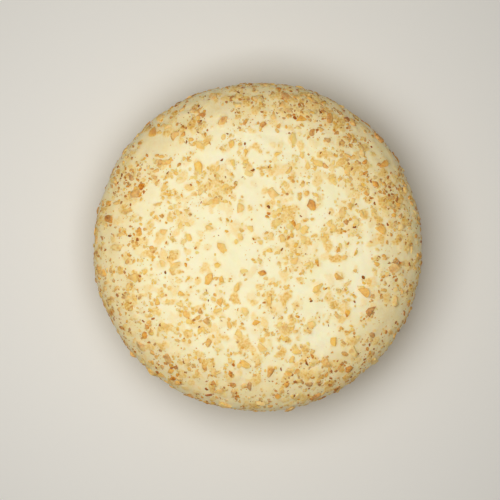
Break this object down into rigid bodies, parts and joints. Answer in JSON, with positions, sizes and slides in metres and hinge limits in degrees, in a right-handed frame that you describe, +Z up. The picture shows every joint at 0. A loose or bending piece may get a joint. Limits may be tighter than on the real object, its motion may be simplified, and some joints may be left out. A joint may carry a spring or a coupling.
{
  "type": "carrot cake",
  "caption": "Whole round carrot cake under cream-cheese icing with a rounded shoulder, strewn with chopped toasted nuts.",
  "frame": {"origin": "middle of the flat foot that the cake stands on", "axes": "+Z up along the cake's axis; +Y towards the top edge of the picture, +X towards its right edge"},
  "size_m": [0.2032, 0.2023, 0.0723],
  "materials": {
    "cream_icing": "soft, matte cream-cheese icing, off-white with a warm yellow cast",
    "nut_flesh": "chopped toasted nut, pale gold to amber, dry and matte",
    "nut_skin": "papery nut skin, red brown, matte"
  },
  "bodies": {
    "root": {"iced_cake": "cream_icing"}
  },
  "joints": []
}
